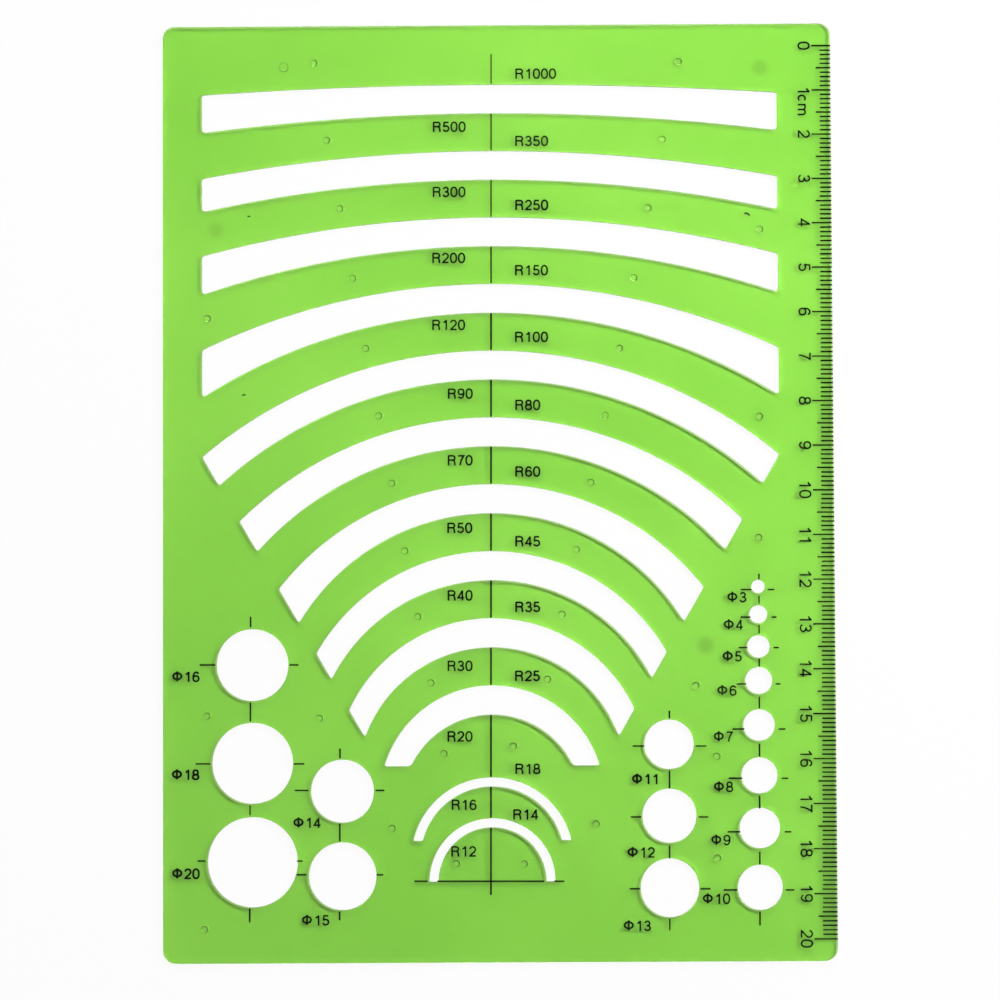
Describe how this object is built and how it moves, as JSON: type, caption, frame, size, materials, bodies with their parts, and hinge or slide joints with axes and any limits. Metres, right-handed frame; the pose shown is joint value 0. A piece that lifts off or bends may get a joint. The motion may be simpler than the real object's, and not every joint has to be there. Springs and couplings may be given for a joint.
{
  "type": "radius template",
  "caption": "Flat clear green plastic drawing template with curved slots for tracing arcs, round holes for circles and a printed centimetre scale along one edge.",
  "frame": {"origin": "on the paper, under the middle of the plate's outline, level with the tips of the pips", "axes": "+X to the edge with the printed scale, +Y to the end with the largest radius, +Z out of the printed face"},
  "size_m": [0.15, 0.21, 0.0015],
  "materials": {
    "green_plastic": "clear green moulded plastic, smooth and glossy",
    "black_ink": "black screen-print ink, thin matt film"
  },
  "bodies": {
    "root": {"plate": "green_plastic", "centre_line_01": "black_ink", "centre_line_02": "black_ink", "centre_line_03": "black_ink", "centre_line_04": "black_ink", "centre_line_05": "black_ink", "centre_line_06": "black_ink", "centre_line_07": "black_ink", "centre_line_08": "black_ink", "centre_line_09": "black_ink", "centre_line_10": "black_ink", "centre_line_11": "black_ink", "centre_line_12": "black_ink", "arc_centre_cross": "black_ink", "base_line_left": "black_ink", "base_line_right": "black_ink", "scale_cm_00": "black_ink", "scale_cm_01": "black_ink", "scale_cm_02": "black_ink", "scale_cm_03": "black_ink", "scale_cm_04": "black_ink", "scale_cm_05": "black_ink", "scale_cm_06": "black_ink", "scale_cm_07": "black_ink", "scale_cm_08": "black_ink", "scale_cm_09": "black_ink", "scale_cm_10": "black_ink", "scale_cm_11": "black_ink", "scale_cm_12": "black_ink", "scale_cm_13": "black_ink", "scale_cm_14": "black_ink", "scale_cm_15": "black_ink", "scale_cm_16": "black_ink", "scale_cm_17": "black_ink", "scale_cm_18": "black_ink", "scale_cm_19": "black_ink", "scale_cm_20": "black_ink", "scale_half_00": "black_ink", "scale_half_01": "black_ink", "scale_half_02": "black_ink", "scale_half_03": "black_ink", "scale_half_04": "black_ink", "scale_half_05": "black_ink", "scale_half_06": "black_ink", "scale_half_07": "black_ink", "scale_half_08": "black_ink", "scale_half_09": "black_ink", "scale_half_10": "black_ink", "scale_half_11": "black_ink", "scale_half_12": "black_ink", "scale_half_13": "black_ink", "scale_half_14": "black_ink", "scale_half_15": "black_ink", "scale_half_16": "black_ink", "scale_half_17": "black_ink", "scale_half_18": "black_ink", "scale_half_19": "black_ink"}
  },
  "joints": []
}
